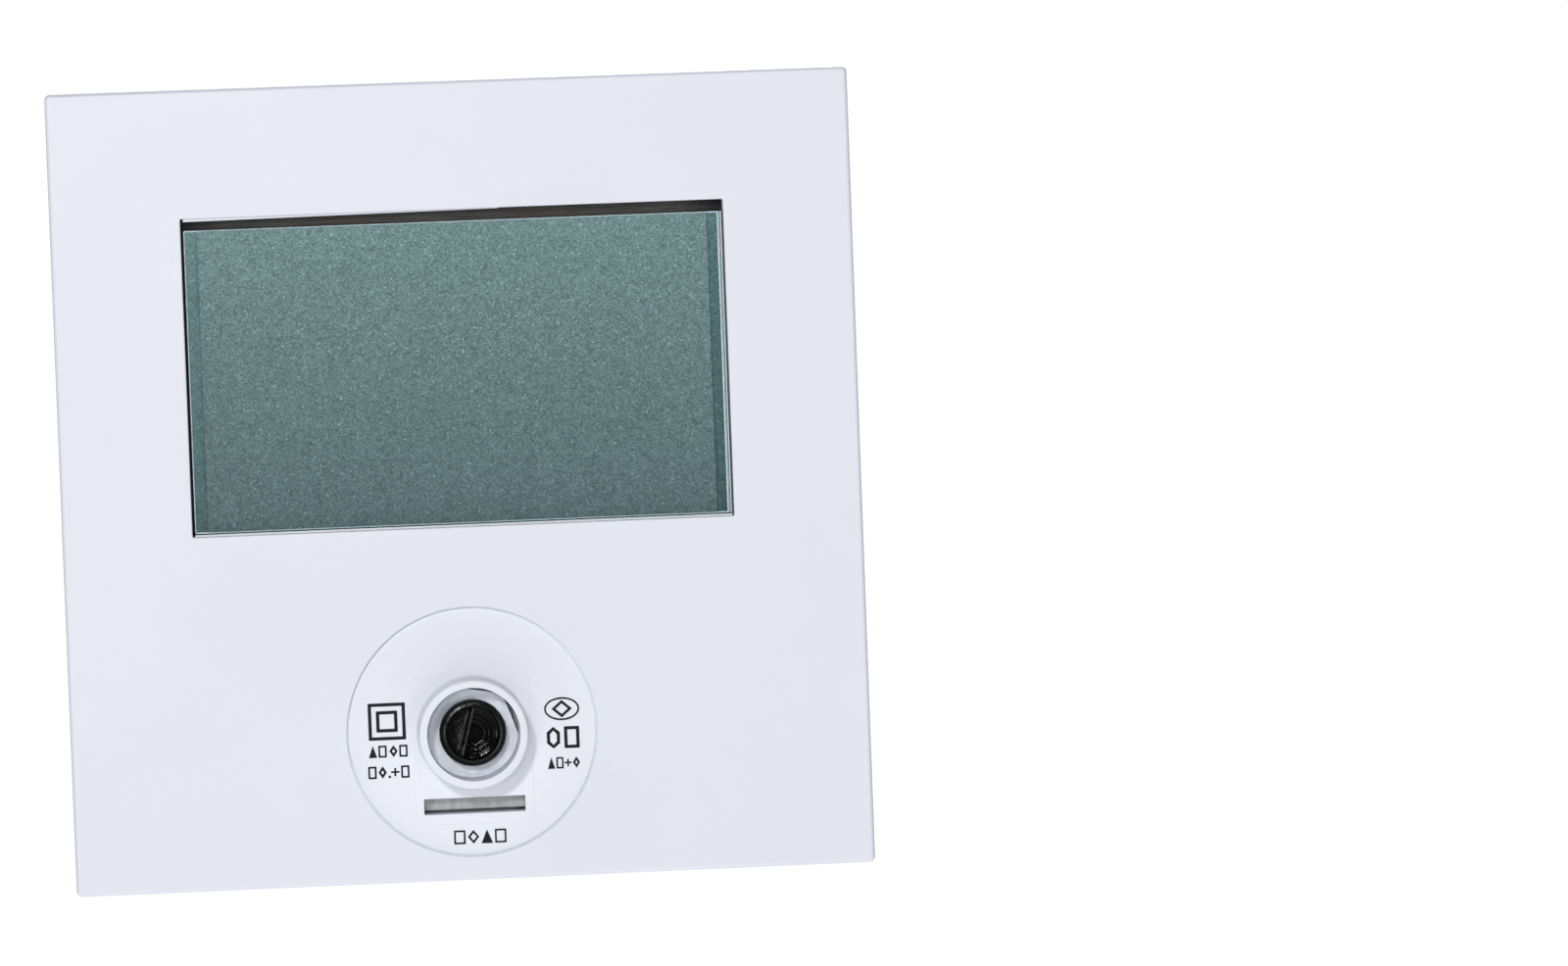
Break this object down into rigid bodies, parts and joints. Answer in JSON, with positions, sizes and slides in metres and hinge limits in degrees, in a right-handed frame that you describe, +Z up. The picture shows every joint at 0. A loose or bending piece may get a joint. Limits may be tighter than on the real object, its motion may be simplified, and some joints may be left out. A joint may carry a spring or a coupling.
{
  "type": "wall thermostat",
  "caption": "Square surface-mounted digital room thermostat, knob removed: display window, keyed rotary shaft in a raised collar, and the slot for releasing the cover.",
  "frame": {"origin": "middle of the back face, on the wall", "axes": "X across the plate to the right as seen from the front, Y into the wall, Z up; the front faces -Y"},
  "size_m": [0.086, 0.028, 0.086],
  "materials": {
    "cover_plastic": "fine satin texture",
    "base_plastic": "fine satin texture",
    "chassis_plastic": "satin",
    "black_plastic": "moulded, slightly glossy",
    "display_film": "matt anti-glare film, grey-green",
    "display_glass": "clear float glass",
    "clear_acrylic": "polished, frosted back",
    "board_laminate": "green solder resist",
    "terminal_plastic": "satin",
    "steel": "bright zinc plate",
    "brass": "bright turned",
    "rubber": "matt",
    "relay_plastic": "satin",
    "capacitor_case": "dipped resin",
    "varistor_coat": "dipped resin",
    "sleeve": "shrink sleeve"
  },
  "bodies": {
    "base": {"rear_base": "base_plastic", "inner_chassis": "chassis_plastic", "lcd_front_polarizer": "display_film", "lcd_rear_polarizer": "display_film", "lcd_front_glass": "display_glass", "lcd_rear_glass": "display_glass", "backlight_guide": "clear_acrylic", "backlight_led_1": "clear_acrylic", "backlight_led_2": "clear_acrylic", "zebra_strip": "rubber", "lcd_frame": "chassis_plastic", "encoder_body": "steel", "encoder_bushing": "brass", "encoder_washer": "steel", "encoder_nut": "steel", "switch_dome": "steel", "main_pcb": "board_laminate", "terminal_block": "terminal_plastic", "relay": "relay_plastic", "film_capacitor": "capacitor_case", "electrolytic_capacitor": "sleeve", "fuse": "black_plastic", "backup_capacitor": "steel", "varistor": "varistor_coat", "filter_choke": "sleeve", "crystal": "steel", "microcontroller": "black_plastic", "temperature_sensor": "sleeve", "chassis_screw_1": "steel", "board_screw_1": "steel", "chassis_screw_2": "steel", "board_screw_2": "steel", "chassis_screw_3": "steel", "board_screw_3": "steel", "chassis_screw_4": "steel", "board_screw_4": "steel", "terminal_screw_1": "steel", "terminal_clamp_1": "brass", "terminal_screw_2": "steel", "terminal_clamp_2": "brass", "terminal_screw_3": "steel", "terminal_clamp_3": "brass", "terminal_screw_4": "steel", "terminal_clamp_4": "brass", "terminal_screw_5": "steel", "terminal_clamp_5": "brass", "terminal_screw_6": "steel", "terminal_clamp_6": "brass"},
    "cover": {"front_cover": "cover_plastic"},
    "latch": {"release_latch": "base_plastic"},
    "encoder_push": {"encoder_plunger": "base_plastic"},
    "encoder_shaft": {"encoder_shaft": "black_plastic", "shaft_circlip": "steel", "encoder_rotor": "base_plastic"}
  },
  "joints": [
    {"name": "cover_pull", "type": "slide", "parent": "base", "child": "cover", "axis": [0, -1, 0], "range_m": [0, 0.025], "deforming": ["release_latch"]},
    {"name": "latch_flex", "type": "hinge", "parent": "base", "child": "latch", "pos_m": [0, -0.0033, -0.0348], "axis": [-1, 0, 0], "range_deg": [0, 3.3], "stiffness_Nm_per_rad": 0.7, "springref_deg": -0.57},
    {"name": "shaft_push", "type": "slide", "parent": "base", "child": "encoder_push", "axis": [0, 1, 0], "range_m": [0, 0.0005], "stiffness_N_per_m": 1500, "springref_m": -0.0015},
    {"name": "shaft_turn", "type": "hinge", "parent": "encoder_push", "child": "encoder_shaft", "pos_m": [0, -0.0215, -0.027], "axis": [0, 1, 0], "continuous": true}
  ]
}
